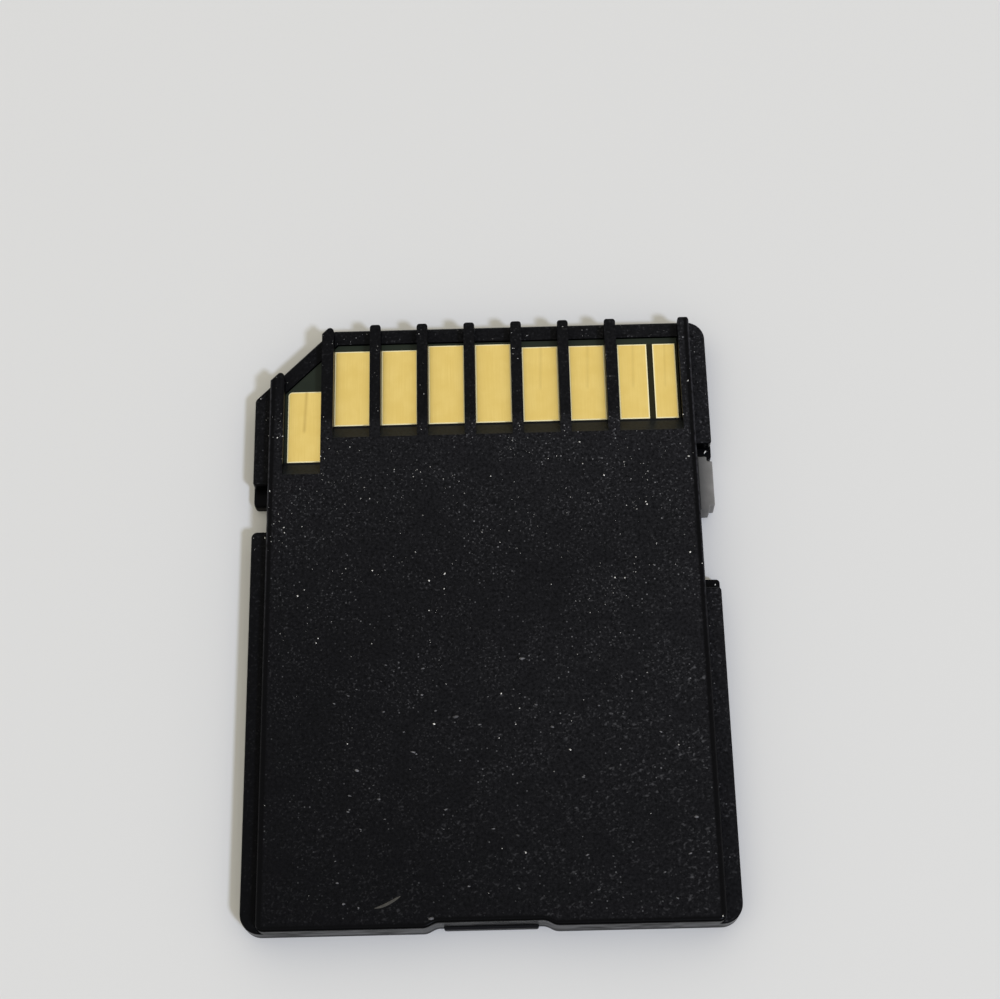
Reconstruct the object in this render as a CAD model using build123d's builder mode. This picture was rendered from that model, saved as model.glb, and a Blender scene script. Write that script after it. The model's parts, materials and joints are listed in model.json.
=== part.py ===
from build123d import *
import os

os.makedirs("parts", exist_ok=True)

# Full-size flash memory card, lying label side down with its contacts up.
# Millimetres. X runs across the card, +Y points to the contact edge, +Z is up.
# The origin is the centre of the flat underside.

# Card envelope
card_width = 24.0
card_length = 32.0
card_thickness = 2.1
cut_corner = 4.0
cut_corner_round = 0.35
front_corner_round = 1.0
rear_corner_round = 1.0
underside_round = 0.3

# Guide rails, lower than the raised back face
rail_width = 0.85
rail_thickness = 1.4
rail_edge_round = 0.1
rail_root = 0.4

# Raised back face and the ribs of its contact comb
raised_cut_round = 0.6
raised_corner_round = 0.4
raised_edge_round = 0.15
rib_nose_round = 0.25

# Finger recess in the rear edge, with a shallow lip on the front cover
recess_width = 6.18
recess_floor_width = 5.2
recess_depth = 0.25
recess_round = 0.7
recess_lip_width = 4.54
recess_lip_depth = 0.13
recess_lip_height = 0.5
recess_lip_round = 0.1

# Half shells
parting_height = 0.7
side_wall = 0.6
rear_wall = 0.7
roof_thickness = 0.35
floor_thickness = 0.35
ledge_width = 0.8
clamp_width = 1.0
shell_clearance = 0.1
inner_corner_round = 0.5

# Contacts, one row between the pocket walls: the even run 1 to 6 shares what the others and the gaps leave
contact_recess = 0.7
contact_thickness = 0.03
contact_row_left_margin = 0.3
contact_row_right_margin = 0.17
contact_gap = 0.6
contact_7_gap = 0.7
contact_8_gap = 0.32
contact_9_gap = 0.65
contact_7_width = 1.56
contact_8_width = 1.2
contact_9_width = 1.8
even_contact_count = 6
contact_rear_setback = 5.64
contact_front_setback = 1.28
power_contact_front_setback = 1.06
contact_9_rear_setback = 7.67
contact_9_front_setback = 3.6
contact_9_round = 0.22

# Contact windows between the ribs, with a ramp behind each
window_side_gap = 0.01
window_pair_gap = 0.08
window_outer_gap = 0.15
window_rear_gap = 0.16
ramp_run = 0.8
front_bar_depth = 0.87
front_bar_rise = 0.05
front_bar_round = 0.2

# Circuit board, clamped between the half shells
board_thickness = 0.4
board_side_clearance = 0.05
board_top_clearance = 0.01

# Locating posts on the front cover, in half-round notches of the board
post_diameter = 0.7
post_height = 0.35
post_rear_setback = 7.5
post_clearance = 0.08

# Ribs on the front cover that hold the board up under the contacts
support_rib_width = 0.5
support_rib_setback = 2.4
support_rib_spacing = 3.1

# Shallow recess for a label on the underside
label_width = 20.6
label_length = 27.0
label_depth = 0.08
label_round = 0.8
label_rear_setback = 1.4

# Notch in the left rail, longer in the back cover than in the front cover
notch_front_setback = 8.88
notch_length = 2.63
notch_ledge = 0.93
notch_ledge_round = 0.29
notch_front_round = 0.15
notch_rear_round = 0.3

# Lock slot in the right rail, longer in the back cover than in the front cover
slot_front_setback = 7.17
slot_length = 7.93
slot_front_ledge = 0.62
slot_rear_ledge = 0.62
slot_round = 0.2

# Lock slider: plate and grip outside the wall, a stem through it and a captive flange behind it
slider_length = 3.03
slider_end_clearance = 0.05
slider_side_clearance = 0.06
slider_plate_reach = 0.48
slider_grip_reach = 0.29
slider_grip_rear_step = 0.26
slider_grip_front_step = 0.27
slider_bottom_setback = 0.14
slider_top_setback = 0.13
slider_corner_round = 0.08
slider_edge_bevel = 0.05
stem_length = 2.3
stem_height = 0.3
flange_length = 2.7
flange_thickness = 0.4
flange_height = 0.56
flange_clearance = 0.1

# Chips and small parts soldered under the board
chip_clearance = 0.1
memory_chip_width = 12.0
memory_chip_rear_setback = 2.9
memory_chip_gap = 2.55
controller_size = 6.0
controller_height = 0.45
controller_gap = 0.8
controller_offset = 2.4
chip_edge = 0.06
pin_mark_diameter = 0.8
pin_mark_depth = 0.05
pin_mark_inset = 1.0
small_part_length = 0.6
small_part_width = 0.3
small_part_end = 0.15
small_part_relief = 0.02
capacitor_height = 0.3
resistor_height = 0.23
small_part_pitch = 0.9
small_part_gap = 1.0
small_part_count = 4

# Derived heights
contact_face = card_thickness - contact_recess
board_top = contact_face - contact_thickness
board_bottom = board_top - board_thickness
plate_underside = board_top + board_top_clearance
front_bar_height = contact_face + front_bar_rise
memory_chip_height = board_bottom - floor_thickness - chip_clearance
slider_top = rail_thickness - slider_top_setback
stem_middle = (slider_bottom_setback + slider_top) / 2
stem_slot_bottom = stem_middle - stem_height / 2 - slider_side_clearance
stem_slot_top = stem_middle + stem_height / 2 + slider_side_clearance
flange_bottom = floor_thickness + slider_side_clearance

# Derived places across the card
half_width = card_width / 2
raised_half = half_width - rail_width
pocket_half = raised_half - side_wall
lip_half = pocket_half - shell_clearance
flange_outer = pocket_half - slider_side_clearance
flange_inner = flange_outer - flange_thickness
channel_inner = flange_inner - flange_clearance
plate_inner = raised_half + slider_side_clearance
plate_outer = plate_inner + slider_plate_reach
post_x = lip_half - ledge_width / 2

# Derived places along the card
front_edge = card_length / 2
rear_edge = -card_length / 2
recess_floor = rear_edge + recess_depth
cut_line = half_width + front_edge - cut_corner
pocket_front = front_edge - front_bar_depth
pocket_rear = recess_floor + rear_wall
pocket_cut_line = cut_line - front_bar_depth * 2**0.5
post_y = rear_edge + post_rear_setback
notch_front = front_edge - notch_front_setback
notch_rear = notch_front - notch_length
slot_front = front_edge - slot_front_setback
slot_rear = slot_front - slot_length
slider_front_stop = slot_front - slot_front_ledge
slider_rear_stop = slot_rear + slot_rear_ledge
slider_front = slider_front_stop - slider_end_clearance
slider_rear = slider_front - slider_length
slider_travel = slider_rear - slider_end_clearance - slider_rear_stop
slider_middle = slider_front - slider_length / 2
travel_middle = slider_middle - slider_travel / 2
stem_slot_length = stem_length + slider_travel + 2 * slider_end_clearance
channel_length = flange_length + slider_travel + 2 * flange_clearance
support_rib_places = [front_edge - support_rib_setback - n * support_rib_spacing for n in range(2)]
controller_front = support_rib_places[-1] - support_rib_width / 2 - controller_gap
controller_y = controller_front - controller_size / 2
memory_chip_rear = rear_edge + memory_chip_rear_setback
memory_chip_length = controller_front - controller_size - memory_chip_gap - memory_chip_rear
memory_chip_y = memory_chip_rear + memory_chip_length / 2

# Contact row: centre and width of each contact, by its number
row_left = contact_row_left_margin - pocket_half
row_right = pocket_half - contact_row_right_margin
even_run_left = row_left + contact_9_width + contact_9_gap
even_run_right = row_right - contact_8_width - contact_8_gap - contact_7_width - contact_7_gap
contact_pitch = (even_run_right - even_run_left + contact_gap) / even_contact_count
contact_width = contact_pitch - contact_gap
even_contacts = range(1, even_contact_count + 1)
contact_widths = {number: contact_width for number in even_contacts}
contact_widths.update({7: contact_7_width, 8: contact_8_width, 9: contact_9_width})
first_contact_x = even_run_left + contact_width / 2
contact_x = {number: first_contact_x + (number - 1) * contact_pitch for number in even_contacts}
contact_x[7] = even_run_right + contact_7_gap + contact_7_width / 2
contact_x[8] = row_right - contact_8_width / 2
contact_x[9] = row_left + contact_9_width / 2
contact_rears = {number: front_edge - contact_rear_setback for number in range(1, 9)}
contact_rears[9] = front_edge - contact_9_rear_setback
contact_fronts = {number: front_edge - contact_front_setback for number in range(1, 9)}
contact_fronts.update({number: front_edge - power_contact_front_setback for number in (3, 4)})
contact_fronts[9] = front_edge - contact_9_front_setback


def window(first, last, left_gap, right_gap):
    """Left edge, right edge and rear end of the window round a run of contacts."""
    left = contact_x[first] - contact_widths[first] / 2 - left_gap
    right = contact_x[last] + contact_widths[last] / 2 + right_gap
    return left, right, contact_rears[first] - window_rear_gap


windows = [window(9, 9, window_outer_gap, window_side_gap)]
windows += [window(number, number, window_side_gap, window_side_gap) for number in even_contacts]
windows += [window(7, 8, window_pair_gap, window_outer_gap)]
rib_lefts = [-raised_half] + [right for left, right, rear in windows]
rib_rights = [left for left, right, rear in windows] + [raised_half]


def card_outline(half, rear_round, right_round, cut_front_round, cut_side_round):
    """Closed plan line of the card at a half width: rear finger recess and one cut front corner."""
    rounds = [rear_round] + [recess_round] * 4 + [rear_round, right_round, cut_front_round, cut_side_round]
    FilletPolyline(
        (-half, rear_edge),
        (-recess_width / 2, rear_edge),
        (-recess_floor_width / 2, recess_floor),
        (recess_floor_width / 2, recess_floor),
        (recess_width / 2, rear_edge),
        (half, rear_edge),
        (half, front_edge),
        (front_edge - cut_line, front_edge),
        (-half, cut_line - half),
        radius=rounds,
        close=True,
    )


def rail_outline():
    """Closed plan line of the whole card at its rails, with all its outer corners rounded."""
    card_outline(half_width, rear_corner_round, front_corner_round, cut_corner_round, cut_corner_round)


def raised_outline():
    """Closed plan line of the raised back face between the rails, with its rear corners rounded."""
    card_outline(raised_half, raised_corner_round, 0, raised_cut_round, 0)


def pocket_outline(inset):
    """Closed plan line of the board pocket, drawn in from its walls by the inset."""
    half = pocket_half - inset
    front = pocket_front - inset
    rear = pocket_rear + inset
    cut = pocket_cut_line - inset * 2**0.5
    FilletPolyline(
        (-half, rear),
        (half, rear),
        (half, front),
        (front - cut, front),
        (-half, cut - half),
        radius=[inner_corner_round, inner_corner_round, 0, 0, 0],
        close=True,
    )


def rail_gap(side, rear, front, rear_round, front_round):
    """Closed plan line of a gap in the left rail, side -1, or the right one, side 1, with rounded corners."""
    inner, outer, clear = (side * place for place in (raised_half, half_width, half_width + rail_width))
    FilletPolyline(
        (inner, rear),
        (inner, front),
        (outer, front),
        (outer, front + 2 * front_round),
        (clear, front + 2 * front_round),
        (clear, rear - 2 * rear_round),
        (outer, rear - 2 * rear_round),
        (outer, rear),
        radius=[0, 0, front_round, 0, 0, 0, 0, rear_round],
        close=True,
    )


def cut_rail_gaps(notch_span, slot_span):
    """Cut the left notch and the right slot through the rails of the open part."""
    gaps = [(-1, notch_span, notch_rear_round, notch_front_round), (1, slot_span, slot_round, slot_round)]
    for side, span, rear_round, front_round in gaps:
        with BuildSketch() as gap:
            with BuildLine():
                rail_gap(side, min(span), max(span), rear_round, front_round)
            make_face()
        extrude(gap.sketch, amount=card_thickness, mode=Mode.SUBTRACT)


def rib_plan(left, right, length):
    """Plan face of one rib of the contact comb, over a length back from the front edge."""
    with BuildSketch() as plan:
        with BuildLine():
            raised_outline()
        make_face()
        with Locations(((left + right) / 2, front_edge)):
            Rectangle(right - left, 2 * length, mode=Mode.INTERSECT)
    return plan.sketch


def span_box(x_span, y_span, z_span, mode=Mode.ADD):
    """Box between two places along each axis, in the open part."""
    spans = (x_span, y_span, z_span)
    with Locations(tuple(sum(span) / 2 for span in spans)):
        Box(*[max(span) - min(span) for span in spans], mode=mode)


def finish(piece, name):
    """Label a finished piece and write it as its own node."""
    piece.part.label = name
    export_step(piece.part, f"parts/{name}.step")


# Raised back face: rounded edges, then the contact windows with their ramps, then a round nose on each rib
with BuildPart() as raised_face:
    with BuildSketch(Plane.XY.offset(parting_height)):
        with BuildLine():
            raised_outline()
        make_face()
    extrude(amount=card_thickness - parting_height)
    fillet(raised_face.edges().group_by(Axis.Z)[-1], raised_edge_round)
    for left, right, rear in windows:
        with BuildSketch(Plane.YZ.offset(left)):
            with BuildLine():
                Polyline(
                    (rear - ramp_run, card_thickness),
                    (rear, front_bar_height),
                    (rear, 0),
                    (front_edge + front_bar_depth, 0),
                    (front_edge + front_bar_depth, 2 * card_thickness),
                    (rear - ramp_run, 2 * card_thickness),
                    close=True,
                )
            make_face()
        extrude(amount=right - left, mode=Mode.SUBTRACT)
    for left, right in zip(rib_lefts, rib_rights):
        with BuildSketch() as nose:
            add(rib_plan(left, right, cut_corner + 3 * rib_nose_round))
            offset(amount=-rib_nose_round)
            offset(amount=rib_nose_round)
        with BuildSketch(Plane.XY.offset(front_bar_height - front_bar_round)) as nose_waste:
            add(rib_plan(left, right, cut_corner + rib_nose_round))
            add(nose.sketch, mode=Mode.SUBTRACT)
        extrude(nose_waste.sketch, amount=card_thickness, mode=Mode.SUBTRACT)

# Front bar: low rim before the contacts and along the cut corner, carried round as the side and rear walls
with BuildPart() as front_bar:
    with BuildSketch(Plane.XY.offset(parting_height)):
        with BuildLine():
            raised_outline()
        make_face()
        with BuildLine():
            pocket_outline(0)
        make_face(mode=Mode.SUBTRACT)
    extrude(amount=front_bar_height - parting_height)
    bar_rim = front_bar.faces().sort_by(Axis.Z)[-1].outer_wire().edges()
    fillet([edge for edge in bar_rim if edge.center().Y > front_edge - cut_corner], front_bar_round)

# Back cover: the raised face and front bar between two guide rails, hollowed for the board
with BuildPart() as back_cover:
    with BuildSketch(Plane.XY.offset(parting_height)):
        with BuildLine():
            rail_outline()
        make_face()
        Rectangle(2 * (raised_half - rail_root), 2 * card_length, mode=Mode.SUBTRACT)
    extrude(amount=rail_thickness - parting_height)
    cut_rail_gaps((notch_rear, notch_front), (slot_rear, slot_front))
    rail_rim = back_cover.faces().filter_by(Axis.Z).group_by(Axis.Z)[-1].edges()
    outer_rim = [edge for edge in rail_rim if abs(edge.center().X) > raised_half + rail_edge_round]
    fillet(outer_rim, rail_edge_round)
    add(raised_face.part)
    add(front_bar.part)
    with BuildSketch(Plane.XY.offset(parting_height)):
        with BuildLine():
            pocket_outline(0)
        make_face()
    extrude(amount=plate_underside - parting_height, mode=Mode.SUBTRACT)
    with BuildSketch(Plane.XY.offset(plate_underside)):
        with BuildLine():
            pocket_outline(clamp_width)
        make_face()
        for left, right, rear in windows:
            room_rear = rear - ramp_run - roof_thickness
            with Locations(((left + right) / 2, (room_rear + front_edge) / 2)):
                Rectangle(right - left + 2 * clamp_width, front_edge - room_rear, mode=Mode.SUBTRACT)
    extrude(amount=card_thickness - roof_thickness - plate_underside, mode=Mode.SUBTRACT)
    stem_slot = (travel_middle - stem_slot_length / 2, travel_middle + stem_slot_length / 2)
    span_box((lip_half, plate_inner), stem_slot, (stem_slot_bottom, stem_slot_top), Mode.SUBTRACT)
finish(back_cover, "back_cover")

# Front cover: shallow tray with a lip that locates the back cover and carries the board
with BuildPart() as front_cover:
    with BuildSketch():
        with BuildLine():
            rail_outline()
        make_face()
    extrude(amount=parting_height)
    fillet(front_cover.edges().group_by(Axis.Z)[0], underside_round)
    with BuildSketch(Plane.XY.offset(parting_height)):
        with BuildLine():
            pocket_outline(shell_clearance)
        make_face()
    extrude(amount=board_bottom - parting_height)
    with BuildSketch(Plane.XY.offset(floor_thickness)):
        with BuildLine():
            pocket_outline(shell_clearance + ledge_width)
        make_face()
    extrude(amount=board_bottom - floor_thickness, mode=Mode.SUBTRACT)
    for rib_y in support_rib_places:
        with BuildSketch(Plane.XY.offset(floor_thickness)):
            with BuildLine():
                pocket_outline(shell_clearance)
            make_face()
            with Locations((0, rib_y)):
                Rectangle(card_width, support_rib_width, mode=Mode.INTERSECT)
        extrude(amount=board_bottom - floor_thickness)
    with Locations((-post_x, post_y, board_bottom), (post_x, post_y, board_bottom)):
        Cylinder(post_diameter / 2, post_height, align=(Align.CENTER, Align.CENTER, Align.MIN))
    channel = (travel_middle - channel_length / 2, travel_middle + channel_length / 2)
    span_box((channel_inner, pocket_half), channel, (floor_thickness, card_thickness), Mode.SUBTRACT)
    span_box((lip_half, plate_inner), stem_slot, (stem_slot_bottom, card_thickness), Mode.SUBTRACT)
    cut_rail_gaps((notch_rear, notch_front - notch_ledge), (slider_rear_stop, slider_front_stop))
    with BuildSketch(Plane.YZ.offset(-half_width)) as ledge_waste:
        ledge_end = notch_front - notch_ledge
        with Locations((ledge_end + notch_ledge_round / 2, parting_height - notch_ledge_round / 2)):
            Rectangle(notch_ledge_round, notch_ledge_round)
        with Locations((ledge_end + notch_ledge_round, parting_height - notch_ledge_round)):
            Circle(notch_ledge_round, mode=Mode.SUBTRACT)
    extrude(ledge_waste.sketch, amount=rail_width, mode=Mode.SUBTRACT)
    with BuildSketch(Plane.XY.offset(parting_height - recess_lip_height)) as recess_lip:
        with Locations((0, recess_floor)):
            Rectangle(recess_lip_width, 2 * recess_lip_depth)
        fillet(recess_lip.vertices().group_by(Axis.Y)[0], recess_lip_round)
    extrude(recess_lip.sketch, amount=recess_lip_height)
    with BuildSketch():
        with Locations((0, rear_edge + label_rear_setback + label_length / 2)):
            RectangleRounded(label_width, label_length, label_round)
    extrude(amount=label_depth, mode=Mode.SUBTRACT)
finish(front_cover, "front_cover")

# Circuit board: fills the pocket, with a cut-out for the slider's flange and notches for the posts
with BuildPart() as circuit_board:
    with BuildSketch(Plane.XY.offset(board_bottom)):
        with BuildLine():
            pocket_outline(board_side_clearance)
        make_face()
        with Locations(((channel_inner + half_width) / 2, travel_middle)):
            Rectangle(half_width - channel_inner, channel_length, mode=Mode.SUBTRACT)
        notch_radius = post_diameter / 2 + post_clearance
        with Locations((-post_x, post_y), (post_x, post_y)):
            Circle(notch_radius, mode=Mode.SUBTRACT)
        for side in (-1, 1):
            with Locations((side * (post_x + half_width) / 2, post_y)):
                Rectangle(half_width - post_x, 2 * notch_radius, mode=Mode.SUBTRACT)
    extrude(amount=board_thickness)
finish(circuit_board, "circuit_board")

# Contacts: gold pads on the board, the ninth with a rounded corner beside the cut corner of the card
for number in range(1, 10):
    with BuildPart() as contact:
        with BuildSketch(Plane.XY.offset(board_top)) as pad:
            with Locations((contact_x[number], (contact_rears[number] + contact_fronts[number]) / 2)):
                Rectangle(contact_widths[number], contact_fronts[number] - contact_rears[number])
            if number == 9:
                fillet(pad.vertices().group_by(Axis.Y)[-1].sort_by(Axis.X)[0], contact_9_round)
        extrude(amount=contact_thickness)
    finish(contact, f"contact_{number}")

# Lock slider: plate with a narrower grip, stem through the wall and captive flange
with BuildPart() as lock_slider:
    grip_rear = slider_rear + slider_grip_rear_step
    grip_front = slider_front - slider_grip_front_step
    with BuildSketch(Plane.XY.offset(slider_bottom_setback)):
        with Locations(((plate_inner + plate_outer) / 2, slider_middle)):
            Rectangle(slider_plate_reach, slider_length)
        with Locations((plate_outer, (grip_rear + grip_front) / 2)):
            Rectangle(2 * slider_grip_reach, grip_front - grip_rear)
    extrude(amount=slider_top - slider_bottom_setback)
    outer_corners = lock_slider.edges().filter_by(Axis.Z).group_by(Axis.X)[-2:]
    fillet(outer_corners[0] + outer_corners[1], slider_corner_round)
    rims = lock_slider.edges().group_by(Axis.Z)
    chamfer(rims[0] + rims[-1], slider_edge_bevel)
    stem_y = (slider_middle - stem_length / 2, slider_middle + stem_length / 2)
    stem_z = (stem_middle - stem_height / 2, stem_middle + stem_height / 2)
    span_box((flange_inner, plate_inner + slider_plate_reach / 2), stem_y, stem_z)
    flange_y = (slider_middle - flange_length / 2, slider_middle + flange_length / 2)
    span_box((flange_inner, flange_outer), flange_y, (flange_bottom, flange_bottom + flange_height))
finish(lock_slider, "lock_slider")


def chip(name, width, length, height, x, y):
    """Flat moulded chip package under the board, with softened edges and a pin-one mark on its face."""
    with BuildPart() as package:
        with Locations((x, y, board_bottom)):
            Box(width, length, height, align=(Align.CENTER, Align.CENTER, Align.MAX))
        chamfer(package.edges().group_by(Axis.Z)[0], chip_edge)
        mark = (x - width / 2 + pin_mark_inset, y + length / 2 - pin_mark_inset, board_bottom - height)
        with Locations(mark):
            Cylinder(pin_mark_diameter / 2, 2 * pin_mark_depth, mode=Mode.SUBTRACT)
    finish(package, name)


def small_part(name, height, x, y):
    """Chip capacitor or resistor under the board: body with two slightly larger end caps."""
    with BuildPart() as piece:
        with Locations((x, y, board_bottom)):
            Box(small_part_length, small_part_width - 2 * small_part_relief, height - small_part_relief,
                align=(Align.CENTER, Align.CENTER, Align.MAX))
        end_x = (small_part_length - small_part_end) / 2
        with Locations((x - end_x, y, board_bottom), (x + end_x, y, board_bottom)):
            Box(small_part_end, small_part_width, height, align=(Align.CENTER, Align.CENTER, Align.MAX))
    finish(piece, name)


chip("memory_chip", memory_chip_width, memory_chip_length, memory_chip_height, 0, memory_chip_y)
chip("controller_chip", controller_size, controller_size, controller_height, controller_offset, controller_y)
capacitor_x = controller_offset - controller_size / 2 - small_part_gap - small_part_length / 2
resistor_x = capacitor_x - small_part_gap - small_part_length
for index in range(small_part_count):
    part_y = controller_y + (index - (small_part_count - 1) / 2) * small_part_pitch
    small_part(f"capacitor_{index + 1}", capacitor_height, capacitor_x, part_y)
    small_part(f"resistor_{index + 1}", resistor_height, resistor_x, part_y)

print(f"slider travel {slider_travel:.3f} mm")
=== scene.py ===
"""Looks of a full-size flash memory card that lies label side down with its contacts up.

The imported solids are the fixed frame: metres, X across the card, +Y towards the contact edge, +Z up.
The moulded covers, the slider and the board keep their solids and get their finishes here.
The gold contacts, the dust, the flecks and one stray fibre are surfaces worked out in this file.
"""

import json
import logging
from abc import ABC, abstractmethod
from collections.abc import Callable, Sequence
from dataclasses import dataclass, field
from enum import Enum
from functools import partial, reduce
from typing import NamedTuple

import bpy
import numpy as np
from mathutils import Matrix, Vector

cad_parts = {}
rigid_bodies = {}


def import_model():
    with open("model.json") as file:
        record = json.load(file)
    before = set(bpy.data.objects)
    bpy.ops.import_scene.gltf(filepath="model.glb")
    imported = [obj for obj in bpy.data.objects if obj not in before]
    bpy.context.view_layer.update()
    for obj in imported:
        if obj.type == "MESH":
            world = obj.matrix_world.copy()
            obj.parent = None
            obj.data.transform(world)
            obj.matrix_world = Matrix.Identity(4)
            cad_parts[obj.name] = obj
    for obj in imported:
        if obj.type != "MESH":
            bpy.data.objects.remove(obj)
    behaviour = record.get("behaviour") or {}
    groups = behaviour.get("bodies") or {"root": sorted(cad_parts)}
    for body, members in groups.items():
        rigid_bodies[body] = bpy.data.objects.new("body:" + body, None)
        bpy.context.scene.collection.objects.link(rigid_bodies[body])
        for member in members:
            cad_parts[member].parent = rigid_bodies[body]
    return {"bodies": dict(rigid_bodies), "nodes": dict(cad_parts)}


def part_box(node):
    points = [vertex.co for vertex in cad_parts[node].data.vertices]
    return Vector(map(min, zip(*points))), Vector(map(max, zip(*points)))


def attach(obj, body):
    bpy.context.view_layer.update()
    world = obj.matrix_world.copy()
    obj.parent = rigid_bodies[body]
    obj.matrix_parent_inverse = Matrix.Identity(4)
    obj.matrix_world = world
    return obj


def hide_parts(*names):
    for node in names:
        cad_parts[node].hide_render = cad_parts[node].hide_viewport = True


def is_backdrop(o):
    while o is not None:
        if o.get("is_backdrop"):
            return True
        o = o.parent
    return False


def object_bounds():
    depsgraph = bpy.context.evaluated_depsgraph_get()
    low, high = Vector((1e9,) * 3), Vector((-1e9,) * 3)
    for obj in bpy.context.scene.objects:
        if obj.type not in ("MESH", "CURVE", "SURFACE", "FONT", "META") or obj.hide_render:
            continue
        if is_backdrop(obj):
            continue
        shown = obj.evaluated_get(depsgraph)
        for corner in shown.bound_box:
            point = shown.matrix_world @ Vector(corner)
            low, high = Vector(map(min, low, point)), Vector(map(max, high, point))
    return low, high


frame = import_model()

MM = 0.001
IMAGE_WIDTH_PX = 1000
# Numbers of the two colour inputs of a mix node
MIX_A = 6
MIX_B = 7
# Spacing of a wave texture's bands at a scale of 1
WAVE_SPACING = 2 * np.pi / 20

log = logging.getLogger("memory_card")

Colour = tuple[float, float, float, float]
Point = tuple[float, float, float]
Span = tuple[float, float]
# Where a rise starts and ends, then what it starts and ends at where that isn't 0 and 1
Rise = tuple[float, ...]
# Place of a flake across and along the card and its radius, in mm, then its slimness
Flake = tuple[float, float, float, float]
FLAKE_UNITS = (MM, MM, MM, 1.0)
Socket = bpy.types.NodeSocket
AddNode = Callable[..., Socket]
Inputs = dict[str, object]


def linear(hex_colour: str) -> Colour:
    """Turn an sRGB hex colour into the linear colour that a shader socket takes.

    Args:
        hex_colour: Six hex digits, two each for red, green and blue.

    Returns:
        Linear red, green and blue with an alpha of 1.
    """
    srgb = np.frombuffer(bytes.fromhex(hex_colour), np.uint8) / 255.0
    rgb = np.where(srgb <= 0.04045, srgb / 12.92, ((srgb + 0.055) / 1.055) ** 2.4)
    return (*rgb.tolist(), 1.0)


def add_node(tree: bpy.types.NodeTree, kind: str, inputs: dict | Sequence = (),
             **settings: object) -> Socket | None:
    """Add one shader node with its settings, its input values and its links.

    Args:
        tree: Node tree that gets the node.
        kind: Blender's name for the type of node, after ShaderNode.
        inputs: Values or source sockets, by the input's name or number, or else in the node's own order.
        settings: Properties of the node itself.

    Returns:
        The first output that the node has with these settings, if any.
    """
    node = tree.nodes.new(f"ShaderNode{kind}")
    for name, value in settings.items():
        setattr(node, name, value)
    for key, value in inputs.items() if isinstance(inputs, dict) else enumerate(inputs):
        if isinstance(value, Socket):
            tree.links.new(value, node.inputs[key])
        else:
            node.inputs[key].default_value = value
    return next((socket for socket in node.outputs if socket.enabled), None)


def layered(add: AddNode, base_hex: str, coats: Sequence[tuple[str, Sequence[Socket]]]) -> Socket:
    """Lay coats of colour over a base colour, each as strongly as the product of its shares.

    Args:
        add: Adds a node to the material.
        base_hex: Colour at the bottom.
        coats: Colour of each coat, and the shares that say where it lies.

    Returns:
        The colour on top.
    """
    colour = linear(base_hex)
    for coat_hex, shares in coats:
        share = reduce(lambda left, right: add("Math", (left, right), operation="MULTIPLY"), shares)
        colour = add("Mix", {"Factor": share, MIX_A: colour, MIX_B: linear(coat_hex)}, data_type="RGBA")
    return colour


def per_metre(size: float) -> float:
    """Texture scale that draws one feature of a pattern at this size in metres."""
    return 1.0 / size


class Pattern(NamedTuple):
    """Noise: the size of its features, how many finer layers it has and how strong each one is."""

    size: float
    detail: float = 2.0
    roughness: float = 0.5


class Finish(ABC):
    """Finish of a surface, named for its real material and for how the surface was made.

    Each of its fields that is a Pattern is drawn as noise and handed to inputs, in the order of the fields.
    Its Height, if it gives one, stands up by the relief in metres and shows by the strength.
    """

    name: str
    roughness: float = 0.5
    specular: float = 0.5
    strength: float = 1.0
    relief: float = 0.0

    @abstractmethod
    def inputs(self, add: AddNode, place: Socket, *noise: Socket) -> Inputs:
        """Work out what goes into the shader, and the height that gets the finish's relief.

        Args:
            add: Adds a node.
            place: Place in metres.
            noise: Its patterns in order.

        Returns:
            The shader's inputs by name.
        """

    def material(self) -> bpy.types.Material:
        """Make the material from the finish's patterns, its other nodes, one shader and one output.

        Returns:
            The finished material.
        """
        material = bpy.data.materials.new(self.name)
        material.use_nodes = True
        material.node_tree.nodes.clear()
        add = partial(add_node, material.node_tree)
        place = add("TexCoord").node.outputs["Object"]
        noise = [
            add("TexNoise", {"Vector": place, "Scale": per_metre(pattern.size), "Detail": pattern.detail,
                             "Roughness": pattern.roughness})
            for pattern in vars(self).values() if isinstance(pattern, Pattern)]
        inputs = {"Roughness": self.roughness, "Specular IOR Level": self.specular,
                  **self.inputs(add, place, *noise)}
        bump = {key: inputs.pop(key) for key in ("Height", "Normal") if key in inputs}
        if self.relief:
            bump.update({"Strength": self.strength, "Distance": self.relief})
            inputs["Normal"] = add("Bump", bump)
        add("OutputMaterial", (add("BsdfPrincipled", inputs),))
        return material


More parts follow.
